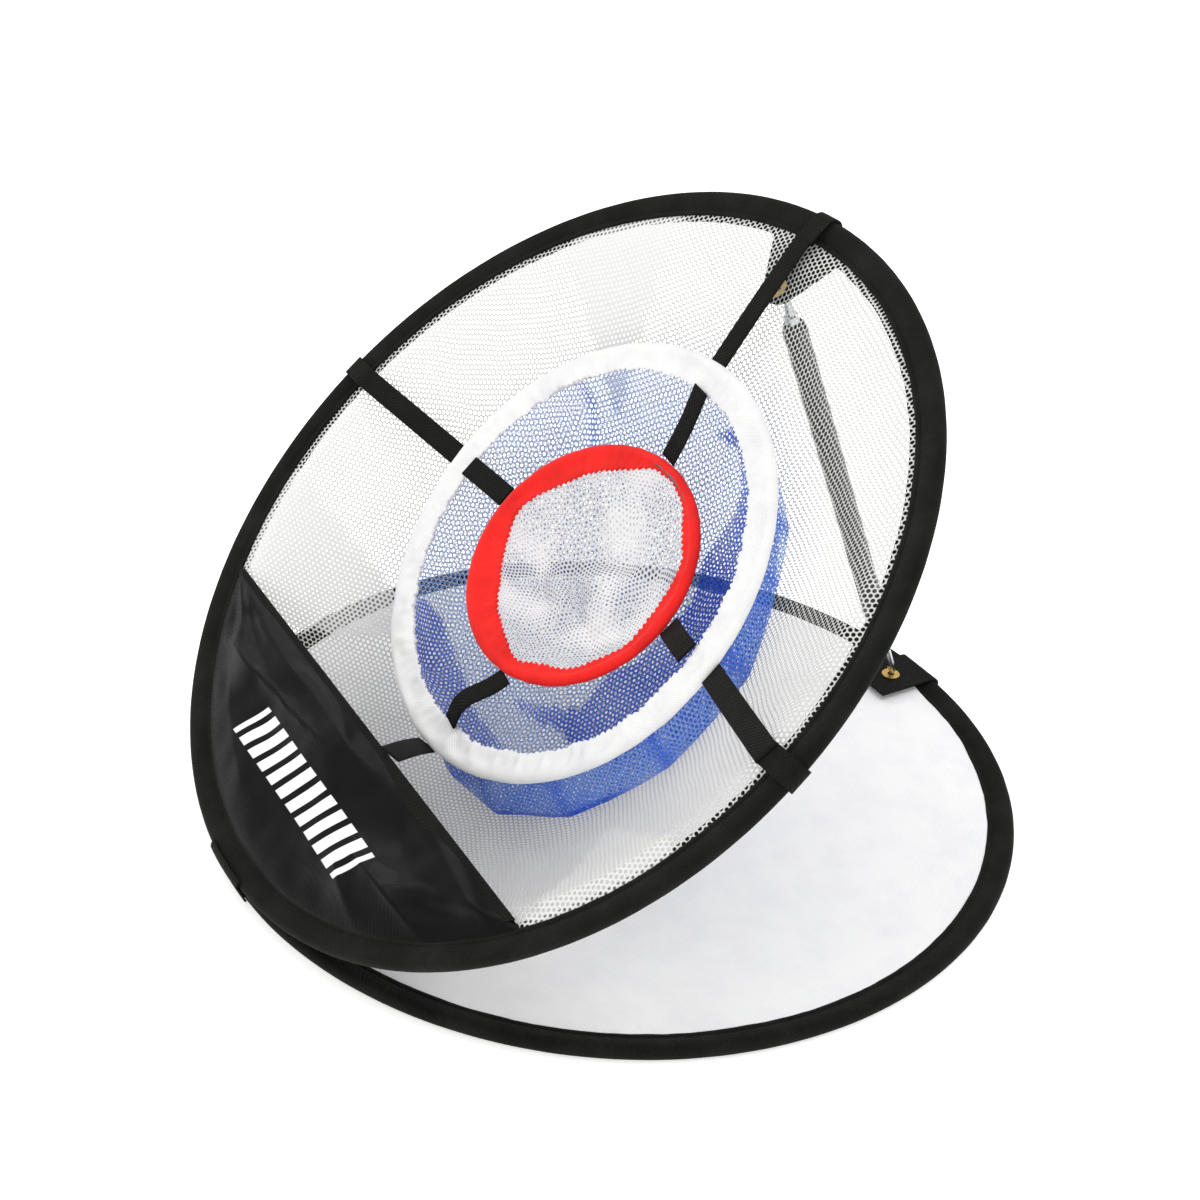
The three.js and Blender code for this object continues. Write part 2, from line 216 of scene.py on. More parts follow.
def ripple(x, y, z, seed):  # smooth noise from -1 to 1
    return noise.noise(Vector((x, y, z + 17.3 * seed)))


def makePiece(pieceName, points, faces, uvs=None, marks=None, paint=None):
    mesh = bpy.data.meshes.new(pieceName)
    mesh.from_pydata([tuple(p) for p in points], [], faces)
    if uvs is not None:
        layer = mesh.uv_layers.new(name="cloth")
        layer.data.foreach_set("uv", np.asarray(uvs, np.float32).ravel())
    for markName, values in (marks or {}).items():
        mark = mesh.attributes.new(markName, "FLOAT", "POINT")
        mark.data.foreach_set("value", np.asarray(values, np.float32))
    mesh.polygons.foreach_set("use_smooth", [True] * len(mesh.polygons))
    if paint:
        mesh.materials.append(paint)
    made = bpy.data.objects.new(pieceName, mesh)
    bpy.context.scene.collection.objects.link(made)
    return made


def faceOutwards(piece):
    work = bmesh.new()
    work.from_mesh(piece.data)
    bmesh.ops.recalc_face_normals(work, faces=work.faces)
    work.to_mesh(piece.data)
    work.free()


def sweepRing(pieceName, plane, section, segments, shift, paint):  # a closed section carried round a ring
    count = len(section)
    along = np.linalg.norm(np.roll(section, -1, 0) - section, axis=1)
    run = np.concatenate([[0], np.cumsum(along)])
    points = []
    for i in range(segments):
        angle = 2 * math.pi * i / segments
        for k, (reach, level) in enumerate(section):
            outward, upward = shift(angle, reach, level, k)
            r = reach + outward
            points.append((r * math.cos(angle), r * math.sin(angle), level + upward))
    faces, uvs = [], []
    arc = 2 * math.pi * plane["radius"] / segments
    for i in range(segments):
        j = (i + 1) % segments
        for k in range(count):
            m = (k + 1) % count
            faces.append((i * count + k, j * count + k, j * count + m, i * count + m))
            start, end = i * arc, (i + 1) * arc
            uvs += [(start, run[k]), (end, run[k]), (end, run[k + 1]), (start, run[k + 1])]
    piece = makePiece(pieceName, fromPlane(plane, points), faces, uvs, None, paint)
    faceOutwards(piece)
    return piece


def polarCloth(pieceName, plane, reaches, segments, shape, paint, marks):
    # shape(reach, angle) gives the point in the ring's plane; the flat cloth's own place is kept as its UV
    rows = []
    for reach in reaches[1:]:
        rows.append([shape(reach, 2 * math.pi * j / segments) for j in range(segments)])
    grid = np.array(rows)
    middle = np.array(shape(0.0, 0.0))
    outwards = np.concatenate([np.broadcast_to(middle, (1, segments, 3)), grid])
    steps = np.linalg.norm(np.diff(outwards, axis=0), axis=2)
    run = np.cumsum(steps.mean(1))
    points = np.concatenate([[middle], grid.reshape(-1, 3)])
    angles = 2 * np.pi * np.arange(segments + 1) / segments
    faces, uvs = [], []
    for j in range(segments):
        m = (j + 1) % segments
        faces.append((0, 1 + j, 1 + m))
        uvs += [(0, 0)] + [(run[0] * math.cos(angles[a]), run[0] * math.sin(angles[a])) for a in (j, j + 1)]
        for i in range(len(run) - 1):
            low, high = 1 + i * segments, 1 + (i + 1) * segments
            faces.append((low + j, high + j, high + m, low + m))
            for s, a in ((run[i], j), (run[i + 1], j), (run[i + 1], j + 1), (run[i], j + 1)):
                uvs.append((s * math.cos(angles[a]), s * math.sin(angles[a])))
    values = {}
    for markName, rule in marks.items():
        values[markName] = [rule(0.0, 0.0)] + [
            rule(reach, 2 * math.pi * j / segments) for reach in reaches[1:] for j in range(segments)
        ]
    print(f"  {pieceName}: cloth run from its middle to its rim {run[-1] * 1000:.0f} mm")
    return makePiece(pieceName, fromPlane(plane, points), faces, uvs, values, paint)


def ribbon(pieceName, path, across, width, thickness, paint):  # a flat band with rounded selvedges
    path, across = np.array(path, float), np.array(across, float)
    forward = np.gradient(path, axis=0)
    forward /= np.linalg.norm(forward, axis=1)[:, None]
    across = across - (across * forward).sum(1)[:, None] * forward
    across /= np.linalg.norm(across, axis=1)[:, None]
    up = np.cross(forward, across)
    half, flat = thickness / 2, width / 2 - thickness / 2
    section = [(-flat, -half), (-flat / 2, -half), (0, -half), (flat / 2, -half), (flat, -half)]
    section += [(flat + half * 0.8, -half * 0.5), (flat + half, 0), (flat + half * 0.8, half * 0.5)]
    section += [(-x, -z) for x, z in section]
    count = len(section)
    points = np.array([p + a * x + u * z for p, a, u in zip(path, across, up) for x, z in section])
    run = np.concatenate([[0], np.cumsum(np.linalg.norm(np.diff(path, axis=0), axis=1))])
    sides = np.linalg.norm(np.roll(section, -1, 0) - np.array(section), axis=1)
    turns = np.concatenate([[0], np.cumsum(sides)])
    faces, uvs = [], []
    for i in range(len(path) - 1):
        for k in range(count):
            m = (k + 1) % count
            faces.append((i * count + k, (i + 1) * count + k, (i + 1) * count + m, i * count + m))
            uvs += [(turns[k], run[i]), (turns[k], run[i + 1])]
            uvs += [(turns[k + 1], run[i + 1]), (turns[k + 1], run[i])]
    last = (len(path) - 1) * count
    faces += [tuple(range(count)), tuple(last + k for k in reversed(range(count)))]
    uvs += [(turns[k], 0) for k in range(count)] + [(turns[k], run[-1]) for k in reversed(range(count))]
    piece = makePiece(pieceName, points, faces, uvs, None, paint)
    faceOutwards(piece)
    return piece



def clothPlace(tree, uvName):  # millimetres along the cloth, or in the frame for a node with no cloth layout
    if uvName:
        source = addNode(tree, "UVMap", uv_map=uvName).outputs[0]
    else:
        source = addNode(tree, "TexCoord").outputs["Object"]
    return addNode(tree, "VectorMath", {0: source, 3: 1000.0}, operation="SCALE").outputs[0]


def weaveHeight(tree, place, pitch):  # over and under of a plain weave with threads that many mm apart
    turned = addNode(tree, "VectorMath", {0: place, 3: math.pi / pitch}, operation="SCALE")
    parts = addNode(tree, "SeparateXYZ", {0: turned.outputs[0]})
    overX = addNode(tree, "Math", {0: parts.outputs[0]}, operation="SINE")
    overY = addNode(tree, "Math", {0: parts.outputs[1]}, operation="SINE")
    both = addNode(tree, "Math", {0: overX.outputs[0], 1: overY.outputs[0]}, operation="MULTIPLY")
    return both.outputs[0]


fabrics = {
    # hex of the cloth, hex where it is worn or catches lint, thread pitch in mm, depth of the weave in mm
    "edgeBinding": ("11120f", "1f201c", 1.1, 0.30),
    "strapWebbing": ("0f100e", "1a1b18", 1.5, 0.35),
    "whiteCover": ("efefee", "e3e3e7", 0.9, 0.14),
    "redCover": ("f2170e", "d40f0a", 0.9, 0.10),
    "groundCloth": ("fcfcfc", "f5f5f7", 1.0, 0.08),
}


def wovenCloth(materialName, look, uvName, plain):
    base, worn, pitch, depth = fabrics[look]
    made, tree, shader = newMaterial(materialName, plain)
    place = clothPlace(tree, uvName)
    blotch = addNode(tree, "TexNoise", {"Vector": place, "Scale": 0.035, "Detail": 4.0, "Roughness": 0.6})
    amount = addNode(tree, "MapRange", {0: blotch.outputs["Fac"], 1: 0.42, 2: 0.72})
    tone = addNode(tree, "Mix", {0: amount.outputs[0], 6: colour(base), 7: colour(worn)}, data_type="RGBA")
    threads = weaveHeight(tree, place, pitch)
    # Painted shade: the colour is darkened down to 0.86 where the weave's threads dip under each other, as
    # shade between them.
    shade = addNode(tree, "MapRange", {0: threads, 1: -1.0, 2: 1.0, 3: 0.86, 4: 1.0})
    toneWithWeaveShade = addNode(tree, "Mix", {0: 1.0, 6: tone.outputs[2], 7: shade.outputs[0]}, data_type="RGBA",
                   blend_type="MULTIPLY")
    tree.links.new(toneWithWeaveShade.outputs[2], shader.inputs["Base Color"])
    crease = addNode(tree, "TexNoise", {"Vector": place, "Scale": 0.12, "Detail": 3.0})
    height = addNode(tree, "Math", {0: crease.outputs["Fac"], 1: 1.5, 2: threads}, operation="MULTIPLY_ADD")
    bump = addNode(tree, "Bump", {"Strength": 0.55, "Distance": depth * millimetre,
                                  "Height": height.outputs[0]})
    tree.links.new(bump.outputs[0], shader.inputs["Normal"])
    rough = addNode(tree, "MapRange", {0: blotch.outputs["Fac"], 3: plain["Roughness"] - 0.06,
                                       4: min(1.0, plain["Roughness"] + 0.06)})
    tree.links.new(rough.outputs[0], shader.inputs["Roughness"])
    return made


# Polyester binding tape, woven and folded over the wire: matt, with a fine rib and a little lint.
edgeBinding = wovenCloth("wovenPolyesterBinding", "edgeBinding", "cloth",
                         {"Roughness": 0.8, "Specular IOR Level": 0.11, "Sheen Weight": 0.01,
                          "Sheen Roughness": 0.5})
# Polypropylene webbing: flat, close threads that shine softly along the band.
strapWebbing = wovenCloth("wovenWebbing", "strapWebbing", "cloth",
                          {"Roughness": 0.7, "Specular IOR Level": 0.1, "Sheen Weight": 0.005})
nodeWebbing = wovenCloth("wovenWebbingTabs", "strapWebbing", None,
                         {"Roughness": 0.72, "Specular IOR Level": 0.1, "Sheen Weight": 0.005})
# White polyester oxford for the middle ring's sleeve: matt, its puckers hold soft shadows.
whiteCover = wovenCloth("whiteOxfordSleeve", "whiteCover", "cloth",
                        {"Roughness": 0.8, "Specular IOR Level": 0.3, "Sheen Weight": 0.1})
# Red dyed oxford for the centre ring's sleeve: strong flat colour, darker in its creases.
redCover = wovenCloth("redOxfordSleeve", "redCover", "cloth",
                      {"Roughness": 0.72, "Specular IOR Level": 0.28, "Sheen Weight": 0.08})
# White nylon taffeta stretched over the base hoop: smooth, faintly grey in its wrinkles.
groundCloth = wovenCloth("whiteGroundTaffeta", "groundCloth", "cloth",
                         {"Roughness": 0.62, "Specular IOR Level": 0.35, "Sheen Weight": 0.05})


def knittedNet(materialName, look):  # threads with round holes between them, in staggered rows
    made, tree, shader = newMaterial(materialName, look["plain"])
    place = clothPlace(tree, "cloth")
    # Knitted cloth never lies true: its rows wander by a millimetre or two.
    wander = addNode(tree, "TexNoise", {"Vector": place, "Scale": 0.018, "Detail": 1.0})
    offset = addNode(tree, "VectorMath", {0: wander.outputs["Color"], 1: (0.5, 0.5, 0.5)},
                     operation="SUBTRACT")
    moved = addNode(tree, "VectorMath", {0: offset.outputs[0], 1: (look["wander"],) * 3, 2: place},
                    operation="MULTIPLY_ADD")
    turned = addNode(tree, "VectorRotate", {"Vector": moved.outputs[0], "Angle": math.radians(look["turn"])},
                     rotation_type="Z_AXIS")
    pitch = look["pitch"]
    row = pitch * math.sqrt(3)
    distances = []
    for shift in ((0, 0, 0), (pitch / 2, row / 2, 0)):
        cell = addNode(tree, "VectorMath", {0: turned.outputs[0], 1: shift}, operation="ADD")
        scaled = addNode(tree, "VectorMath", {0: cell.outputs[0], 1: (1 / pitch, 1 / row, 0)},
                         operation="MULTIPLY")
        inside = addNode(tree, "VectorMath", {0: scaled.outputs[0]}, operation="FRACTION")
        centred = addNode(tree, "VectorMath", {0: inside.outputs[0], 1: (0.5, 0.5, 0)}, operation="SUBTRACT")
        real = addNode(tree, "VectorMath", {0: centred.outputs[0], 1: (pitch, row, 0)}, operation="MULTIPLY")
        away = addNode(tree, "VectorMath", {0: real.outputs[0]}, operation="LENGTH")
        distances.append(away.outputs["Value"])
    near = addNode(tree, "Math", {0: distances[0], 1: distances[1]}, operation="MINIMUM")
    # Where the net is gathered or lies double its holes close up.
    gathered = addNode(tree, "Attribute", attribute_name="gathered")
    uneven = addNode(tree, "TexNoise", {"Vector": place, "Scale": 0.05, "Detail": 3.0})
    slack = addNode(tree, "Math", {0: uneven.outputs["Fac"], 1: 0.30, 2: -0.15}, operation="MULTIPLY_ADD")
    shut = addNode(tree, "Math", {0: gathered.outputs["Fac"], 1: slack.outputs[0]}, operation="ADD",
                   use_clamp=True)
    hole = addNode(tree, "MapRange", {0: shut.outputs[0], 3: look["hole"], 4: look["closedHole"]})
    past = addNode(tree, "Math", {0: near.outputs[0], 1: hole.outputs[0]}, operation="SUBTRACT")
    thread = addNode(tree, "MapRange", {0: past.outputs[0], 1: -0.12, 2: 0.12},
                     interpolation_type="SMOOTHSTEP")
    cover = addNode(tree, "MapRange", {0: shut.outputs[0], 3: look["cover"], 4: look["closedCover"]})
    alpha = addNode(tree, "Math", {0: thread.outputs[0], 1: cover.outputs[0]}, operation="MULTIPLY")
    # The holes of a doubled net are backed by its second layer.
    backed = addNode(tree, "MapRange", {0: shut.outputs[0], 1: 0.45, 2: 1.0, 4: look["backing"]})
    both = addNode(tree, "Math", {0: alpha.outputs[0], 1: backed.outputs[0]}, operation="MAXIMUM")
    tree.links.new(both.outputs[0], shader.inputs["Alpha"])
    tone = addNode(tree, "Mix", {0: shut.outputs[0], 6: colour(look["thin"]), 7: colour(look["dense"])},
                   data_type="RGBA")
    # Painted shade: each thread's colour darkens towards its edges, down to edgeShade, as shade on its rounded
    # sides.
    threadEdgeShade = addNode(tree, "MapRange", {0: past.outputs[0], 1: 0.0, 2: 0.5, 3: look["edgeShade"], 4: 1.0})
    shaded = addNode(tree, "Mix", {0: 1.0, 6: tone.outputs[2], 7: threadEdgeShade.outputs[0]}, data_type="RGBA",
                     blend_type="MULTIPLY")
    tree.links.new(shaded.outputs[2], shader.inputs["Base Color"])
    bump = addNode(tree, "Bump", {"Strength": 0.6, "Distance": 0.4 * millimetre, "Height": thread.outputs[0]})
    tree.links.new(bump.outputs[0], shader.inputs["Normal"])
    return made


# Warp-knitted polyester net: plump white threads round holes of about 2 mm, 3.5 mm apart.
whiteNet = knittedNet("whiteKnittedNet", {
    "pitch": 3.5, "hole": 1.36, "closedHole": 0.75, "cover": 0.97, "closedCover": 1.0, "backing": 0.55,
    "thin": "cfcfcb", "dense": "e0e0dd", "edgeShade": 0.72, "wander": 6.0, "turn": 20.0,
    "plain": {"Roughness": 0.6, "Specular IOR Level": 0.3},
})
# The same net with finer threads for the small bag: crumpled, so its rows wander more.
centreNetCloth = knittedNet("whiteKnittedNetFine", {
    "pitch": 2.9, "hole": 0.84, "closedHole": 0.42, "cover": 0.95, "closedCover": 1.0, "backing": 0.8,
    "thin": "dededf", "dense": "f0f0f0", "edgeShade": 0.8, "wander": 16.0, "turn": 55.0,
    "plain": {"Roughness": 0.55, "Specular IOR Level": 0.35},
})
# Blue polyester net: thin clear-dyed threads look pale alone, and strong blue where they crowd together.
blueNet = knittedNet("blueKnittedNet", {
    "pitch": 3.1, "hole": 1.1, "closedHole": 0.86, "cover": 0.6, "closedCover": 0.97, "backing": 0.4,
    "thin": "709fe4", "dense": "0a4cc8", "edgeShade": 0.8, "wander": 12.0, "turn": -12.0,
    "plain": {"Roughness": 0.5, "Specular IOR Level": 0.25},
})

panelLook = {
    "cloth": "050605", "catch": "090a08", "print": "eeeeec",
    "pitch": 0.7,  # taffeta threads are nearer 0.15 mm; drawn coarser so that the weave shows
    "bars": {"side": 4.0, "level": -190.5, "length": 154.0, "height": 25.0, "pitch": 14.0, "slant": 0.4},
}


def taffetaWithBars():
    # Black coated nylon taffeta: glossy enough to catch soft streaks along its wrinkles, with a screen print.
    made, tree, shader = newMaterial("blackCoatedTaffeta", {"Specular IOR Level": 0.085, "Roughness": 0.2,
                                                            "Coat Weight": 0.02, "Coat Roughness": 0.12})
    place = clothPlace(tree, "cloth")
    threads = weaveHeight(tree, place, panelLook["pitch"])
    haze = addNode(tree, "TexNoise", {"Vector": place, "Scale": 0.03, "Detail": 5.0, "Roughness": 0.65})
    tone = addNode(tree, "Mix", {0: haze.outputs["Fac"], 6: colour(panelLook["cloth"]),
                                 7: colour(panelLook["catch"])}, data_type="RGBA")
    bars = panelLook["bars"]
    parts = addNode(tree, "SeparateXYZ", {0: place})
    sideways = addNode(tree, "Math", {0: parts.outputs[0], 1: bars["side"]}, operation="SUBTRACT")
    upwards = addNode(tree, "Math", {0: parts.outputs[1], 1: bars["level"]}, operation="SUBTRACT")
    leant = addNode(tree, "Math", {0: upwards.outputs[0], 1: -bars["slant"], 2: sideways.outputs[0]},
                    operation="MULTIPLY_ADD")
    stripe = addNode(tree, "Math", {0: leant.outputs[0], 1: bars["pitch"] / 2}, operation="PINGPONG")
    inked = addNode(tree, "MapRange", {0: stripe.outputs[0], 1: bars["pitch"] * 0.18, 2: bars["pitch"] * 0.2})
    farSide = addNode(tree, "Math", {0: leant.outputs[0]}, operation="ABSOLUTE")
    withinSide = addNode(tree, "MapRange", {0: farSide.outputs[0], 1: bars["length"] / 2,
                                            2: bars["length"] / 2 + 0.5, 3: 1.0, 4: 0.0})
    farUp = addNode(tree, "Math", {0: upwards.outputs[0]}, operation="ABSOLUTE")
    withinUp = addNode(tree, "MapRange", {0: farUp.outputs[0], 1: bars["height"] / 2,
                                          2: bars["height"] / 2 + 0.5, 3: 1.0, 4: 0.0})
    row = addNode(tree, "Math", {0: withinSide.outputs[0], 1: withinUp.outputs[0]}, operation="MULTIPLY")
    ink = addNode(tree, "Math", {0: row.outputs[0], 1: inked.outputs[0]}, operation="MULTIPLY")
    printed = addNode(tree, "Mix", {0: ink.outputs[0], 6: tone.outputs[2], 7: colour(panelLook["print"])},
                      data_type="RGBA")
    tree.links.new(printed.outputs[2], shader.inputs["Base Color"])
    rough = addNode(tree, "MapRange", {0: ink.outputs[0], 3: 0.2, 4: 0.6})
    tree.links.new(rough.outputs[0], shader.inputs["Roughness"])
    fine = addNode(tree, "TexNoise", {"Vector": place, "Scale": 0.09, "Detail": 4.0})
    height = addNode(tree, "Math", {0: fine.outputs["Fac"], 1: 2.0, 2: threads}, operation="MULTIPLY_ADD")
    bump = addNode(tree, "Bump", {"Strength": 0.3, "Distance": 0.16 * millimetre,
                                  "Height": height.outputs[0]})
    tree.links.new(bump.outputs[0], shader.inputs["Normal"])
    return made


panelTaffeta = taffetaWithBars()


def scuffedSolid(materialName, base, worn, scale, plain, grain):  # a hard finish with fine scuffs
    made, tree, shader = newMaterial(materialName, plain)
    place = clothPlace(tree, None)
    scuff = addNode(tree, "TexNoise", {"Vector": place, "Scale": scale, "Detail": 6.0, "Roughness": 0.7})
    amount = addNode(tree, "MapRange", {0: scuff.outputs["Fac"], 1: 0.45, 2: 0.75})
    tone = addNode(tree, "Mix", {0: amount.outputs[0], 6: colour(base), 7: colour(worn)}, data_type="RGBA")
    tree.links.new(tone.outputs[2], shader.inputs["Base Color"])
    rough = addNode(tree, "MapRange", {0: scuff.outputs["Fac"], 3: max(0.02, plain["Roughness"] - 0.08),
                                       4: plain["Roughness"] + 0.12})
    tree.links.new(rough.outputs[0], shader.inputs["Roughness"])
    bump = addNode(tree, "Bump", {"Strength": 0.3, "Distance": grain * millimetre,
                                  "Height": scuff.outputs["Fac"]})
    tree.links.new(bump.outputs[0], shader.inputs["Normal"])
    return made


# Pultruded glass-fibre rod in a PVC skin: glossy black with faint scuffs.
rodSkin = scuffedSolid("glossyPvcRod", "0f100f", "1d1f1e", 0.4,
                       {"Roughness": 0.16, "Specular IOR Level": 0.4, "Coat Weight": 0.2}, 0.05)
# Nickel-plated steel, drawn and plated: bright, slightly blue-grey, soft scratches.
nickelSteel = scuffedSolid("nickelPlatedSteel", "c4c9cc", "9aa0a4", 0.9,
                           {"Roughness": 0.24, "Metallic": 1.0}, 0.04)
# Pressed brass eyelet, lacquered: warm yellow, darker where it is rubbed.
brass = scuffedSolid("pressedBrass", "d9b56a", "a9823c", 0.8, {"Roughness": 0.28, "Metallic": 1.0}, 0.04)
# Hardened spring-steel wire: dark, oiled, hidden inside the bindings.
springSteel = scuffedSolid("springSteelWire", "6e7072", "4a4c4e", 0.7,
                           {"Roughness": 0.35, "Metallic": 1.0}, 0.03)
print("finishes made")

bindings = {
    "segments": 420,
    "pucker": 0.55,  # mm that the sewn edge wanders in and out
    "wave": 0.35,  # mm that the flat of the tape lifts
    "underEdge": 1.6,  # mm that the tape's lower leaf reaches past its upper leaf
    "leaf": 1.1,  # mm that the upper leaf stands over the hoop's plane
}


def tapeSection(inner, outer, half, lip, reachBelow):  # round over the wire, then two flat leaves
    centre = outer - half
    arc = [(centre + half * math.cos(a), half * math.sin(a)) for a in np.radians(np.arange(-80, 81, 16))]
    # The seam is a small groove near the upper leaf's edge. The net lies on the lower leaf, which reaches
    # further in.
    upper = [(centre - half * 0.55, half * 0.93), (centre - half * 1.1, half * 0.74),
             (centre - half * 1.7, half * 0.55), (inner + (centre - inner) * 0.45, lip + 0.0003),
             (inner + 0.0058, lip + 0.0001), (inner + 0.0054, lip - 0.0003), (inner + 0.0050, lip + 0.0001),
             (inner + 0.0032, lip), (inner + 0.0024, lip - 0.0004)]
    lower = [(inner + 0.0024, -0.0010), (inner - reachBelow, -0.0010), (inner - reachBelow, -0.0015),
             (inner + 0.002, -0.0017),
             (inner + (centre - inner) * 0.45, -lip - 0.0002), (centre - half * 1.4, -half * 0.62),
             (centre - half * 0.7, -half * 0.9)]
    return np.array(arc + upper + lower)


def bindHoop(pieceName, nodeName, plane, body):
    inner, outer = ringSize(nodeName, plane)
    half = (outer - plane["radius"]) * 0.98
    section = tapeSection(inner, outer, half, bindings["leaf"] * millimetre, bindings["underEdge"] * millimetre)

    def pull(angle, reach, level, k):
        flat = max(0.0, min(1.0, (outer - 0.009 - reach) / 0.008))
        edge = ripple(angle * 9, reach * 30, 0, 1) * 0.7 + ripple(angle * 34, 0, 0, 2) * 0.5
        lift = max(-0.3, ripple(angle * 13, reach * 60, 0.5, 3)) if level > 0 else 0.0
        skin = ripple(angle * 22, level * 200, reach * 120, 4) * 0.12
        return ((edge * bindings["pucker"] * flat + skin * (1 - flat)) * millimetre,
                lift * bindings["wave"] * flat * millimetre)

    piece = sweepRing(pieceName, plane, section, bindings["segments"], pull, edgeBinding)
    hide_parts(nodeName)
    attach(piece, body)
    return piece


bindHoop("base_binding", "base_edge_tape", basePlane, "base")
bindHoop("target_binding", "target_edge_tape", targetPlane, "target")
print("hoop bindings made")

sleeves = {
    "segments": 560,
    "half": 0.0031,  # half the sleeve's thickness over its wire
    # the net shows as small teeth along a sleeve's inner edge
    "teeth": 0.0008,
    "toothPitch": 0.0038,
    # corners: a bearing and reach for each bend of the sleeve's inner edge
    "white": {"pucker": 3.2, "gathers": 52, "uneven": 0.0014,
              "corners": tuple((bearing, 0.1215) for bearing in range(0, 360, 10))},
    "red": {"pucker": 1.5, "gathers": 26, "uneven": 0.0012,
            # bearing and reach of the corners that the small net pulls the sleeve's inner edge into
            "corners": ((182, 0.0660), (167, 0.0618), (134, 0.0599), (96, 0.0712), (80, 0.0722), (66, 0.0703),
                        (33, 0.0700), (15, 0.0655), (346, 0.0695), (315, 0.0685), (280, 0.0690),
                        (246, 0.0585), (211, 0.0566))},
}


def cornered(corners, angle):  # reach at a bearing of a shape with straight sides between its corners
    bearing = math.degrees(angle)
    places = sorted(corners)
    places = [(places[-1][0] - 360, places[-1][1])] + places + [(places[0][0] + 360, places[0][1])]
    for (low, nearReach), (high, farReach) in zip(places, places[1:]):
        if low <= bearing % 360 <= high:
            a, b = math.radians(bearing % 360 - low), math.radians(high - bearing % 360)
            return nearReach * farReach * math.sin(a + b) / (nearReach * math.sin(a) + farReach * math.sin(b))
    return places[0][1]


def holeEdge(look, angle):  # reach of the sleeve's inner edge at a bearing
    slack = ripple(math.cos(angle) * 1.5, math.sin(angle) * 1.5, 0.4, 7) * look["uneven"]
    return sum(cornered(look["corners"], angle + turn) for turn in (-0.07, 0, 0.07)) / 3 + slack


def sleeveRing(pieceName, nodeName, plane, body, look, paint, seed):
    inner, outer = ringSize(nodeName, plane)
    half = sleeves["half"]
    centre = plane["radius"]
    section = []
    for a in np.radians(np.arange(-90, 91, 15)):
        section.append((centre + (outer - centre) * math.cos(a), half * math.sin(a)))
    for share, level in ((0.14, 0.9), (0.28, 0.66), (0.42, 0.5), (0.56, 0.42), (0.7, 0.38), (0.84, 0.35),
                         (0.95, 0.32), (0.99, 0.22), (1, 0.05)):
        section.append((centre + (inner - centre) * share, half * level))
    for share, level in ((1, -0.12), (0.86, -0.3), (0.6, -0.36), (0.36, -0.5), (0.18, -0.8)):
        section.append((centre + (inner - centre) * share, half * level))
    section = np.array(section)
    band = centre - inner
    teethRound = round(2 * math.pi * inner / sleeves["toothPitch"])
    pucker = look["pucker"] * millimetre

    def pull(angle, reach, level, k):
        share = max(0.0, min(1.0, (centre - reach) / band))
        gather = ripple(angle * look["gathers"] / 6, share * 0.8, 0, seed) + 0.6 * ripple(
            angle * look["gathers"] / 2.2, share * 1.5, 0, seed + 1)
        edge = 0.7 * ripple(angle * look["gathers"] / 3.2, 0, 4, seed + 3)
        edge += 0.5 * ripple(angle * look["gathers"], 0, 5, seed)
        outward = (holeEdge(look, angle) - inner) * share + edge * pucker * share ** 2 * 0.7
        outward += ripple(angle * 8, level * 90, 1.7, seed + 2) * 0.0005 * (1 - share)
        outward += sleeves["teeth"] * math.sin(angle * teethRound) * max(0.0, share * 5 - 4)
        width = min(1.0, (centre - holeEdge(look, angle)) / band)
        upward = gather * pucker * width * math.sin(math.pi * share * 0.85)
        return outward, max(upward, -0.6 * level) if level > 0 else -0.4 * upward

    piece = sweepRing(pieceName, plane, section, sleeves["segments"], pull, paint)
    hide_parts(nodeName)
    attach(piece, body)
    return piece


sleeveRing("middle_sleeve", "middle_ring_cover", middlePlane, "middle_ring", sleeves["white"], whiteCover,
           5)
sleeveRing("centre_sleeve", "centre_ring_cover", centrePlane, "centre_ring", sleeves["red"], redCover,
           9)
print("ring sleeves made")

outerNet = {
    "rim": 0.2385,  # metres from the middle, under the tape
    "flat": 0.226,
    "depth": 0.104,
    "taper": 1.5,
    "fullness": 0.021,
    "droop": 0.32,
    "wrinkle": 0.0012,
    "segments": 220,
}


def outerDepth(side, up):  # how far the big bag hangs under the hoop's plane at a place in it
    drop = 0.0
    for _ in range(6):
        startUp = up + drop * outerNet["droop"]
        reach = math.hypot(side, startUp)
        share = min(1.0, reach / outerNet["flat"])
        lowSide = (1 - startUp / reach) / 2 if reach > 1e-5 else 0.5
        drop = outerNet["depth"] * (1 - share ** 2) ** outerNet["taper"]
        drop += outerNet["fullness"] * lowSide * 4 * share ** 2 * (1 - share ** 2)
    return drop


# bearing in degrees, then width and length in metres
darts = [(-24, 0.09, 0.09), (128, 0.09, 0.10), (212, 0.12, 0.12)]


def outerShape(reach, angle):
    share = min(1.0, reach / outerNet["flat"])
    lowSide = (1 - math.sin(angle)) / 2
    drop = outerNet["depth"] * (1 - share ** 2) ** outerNet["taper"]
    drop += outerNet["fullness"] * lowSide * 4 * share ** 2 * (1 - share ** 2)
    x, y, belly = math.cos(angle), math.sin(angle), math.sin(math.pi * share)
    fan = ripple(x * 9, y * 9, share * 1.2, 21) * belly ** 0.7
    fan += 0.5 * ripple(x * 22, y * 22, share * 1.5, 22) * belly
    drop += fan * outerNet["wrinkle"]
    return (reach * math.cos(angle), reach * math.sin(angle) - drop * outerNet["droop"], -0.0004 - drop)


def bearingApart(angle, bearing):  # degrees between an angle and a bearing
    return abs((math.degrees(angle) - bearing + 180) % 360 - 180)


def outerGather(reach, angle):  # the darts that shape the bag lie double, and the rim is a little gathered
    found = 0.0
    for bearing, width, length in darts:
        away = bearingApart(angle, bearing)
        spread = width * max(0.0, (reach - (outerNet["rim"] - length)) / length)
        if reach * math.radians(away) < spread / 2:
            found = 0.75
    return max(found, 0.25 * max(0.0, (reach - 0.21) / 0.03))


